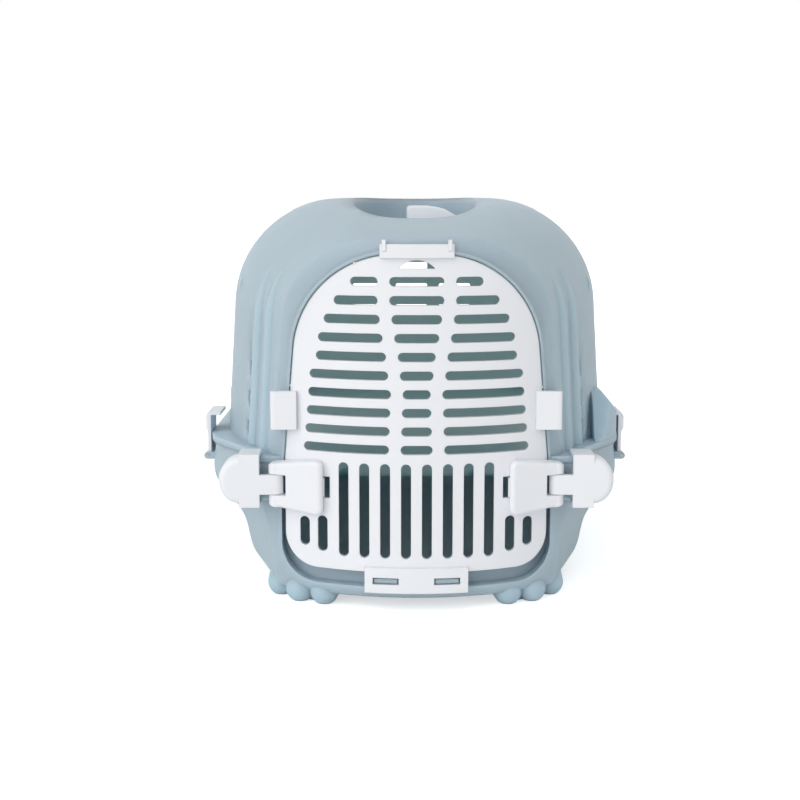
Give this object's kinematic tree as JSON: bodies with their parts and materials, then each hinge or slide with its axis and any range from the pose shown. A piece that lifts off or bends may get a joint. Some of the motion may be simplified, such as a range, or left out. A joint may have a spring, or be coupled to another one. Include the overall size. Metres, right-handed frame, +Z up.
{
  "type": "pet carrier",
  "caption": "Moulded two-part carrier for a small pet: hood over a tub, barred hinged door with side clasps, shell clips and a fold-down carrying handle.",
  "frame": {"origin": "on the floor, under the middle of the carrier", "axes": "+Z up; the door faces -Y; +X to the right of someone facing the door"},
  "size_m": [0.346, 0.48, 0.3018],
  "materials": {
    "shell_plastic": "satin moulded polypropylene, pale grey-blue",
    "white_plastic": "satin moulded polypropylene, white",
    "pin_steel": "plain steel pin"
  },
  "bodies": {
    "shell": {"lower_shell": "shell_plastic", "upper_shell": "shell_plastic", "handle_pin_front": "pin_steel", "handle_pin_rear": "pin_steel", "side_clip_pin_left_front": "pin_steel", "side_clip_pin_right_front": "pin_steel", "side_clip_pin_left_rear": "pin_steel", "side_clip_pin_right_rear": "pin_steel"},
    "door": {"door_grille": "white_plastic", "latch_plate_left": "white_plastic", "latch_plate_right": "white_plastic", "latch_pin_left": "pin_steel", "latch_pin_right": "pin_steel"},
    "lever_left": {"latch_lever_left": "white_plastic"},
    "lever_right": {"latch_lever_right": "white_plastic"},
    "handle": {"carry_handle": "white_plastic"},
    "clip_left_front": {"side_clip_left_front": "white_plastic"},
    "clip_right_front": {"side_clip_right_front": "white_plastic"},
    "clip_left_rear": {"side_clip_left_rear": "white_plastic"},
    "clip_right_rear": {"side_clip_right_rear": "white_plastic"}
  },
  "joints": [
    {"name": "door_hinge", "type": "hinge", "parent": "shell", "child": "door", "pos_m": [-0.104, -0.21084, 0.12], "axis": [0, 0, -1], "range_deg": [0, 100]},
    {"name": "lever_left_flip", "type": "hinge", "parent": "shell", "child": "lever_left", "pos_m": [-0.104, -0.21084, 0.09], "axis": [0, 0, -1], "range_deg": [-60, 0]},
    {"name": "lever_right_flip", "type": "hinge", "parent": "door", "child": "lever_right", "pos_m": [0.104, -0.21084, 0.09], "axis": [0, 0, -1], "range_deg": [0, 60]},
    {"name": "handle_fold", "type": "hinge", "parent": "shell", "child": "handle", "pos_m": [0, -0.06, 0.281], "axis": [0, -1, 0], "range_deg": [0, 90]},
    {"name": "clip_left_front_open", "type": "hinge", "parent": "shell", "child": "clip_left_front", "pos_m": [-0.1702, -0.078, 0.092], "axis": [0, -1, 0], "range_deg": [0, 110]},
    {"name": "clip_right_front_open", "type": "hinge", "parent": "shell", "child": "clip_right_front", "pos_m": [0.1702, -0.078, 0.092], "axis": [0, 1, 0], "range_deg": [0, 110]},
    {"name": "clip_left_rear_open", "type": "hinge", "parent": "shell", "child": "clip_left_rear", "pos_m": [-0.1702, 0.092, 0.092], "axis": [0, -1, 0], "range_deg": [0, 110]},
    {"name": "clip_right_rear_open", "type": "hinge", "parent": "shell", "child": "clip_right_rear", "pos_m": [0.1702, 0.092, 0.092], "axis": [0, 1, 0], "range_deg": [0, 110]}
  ]
}
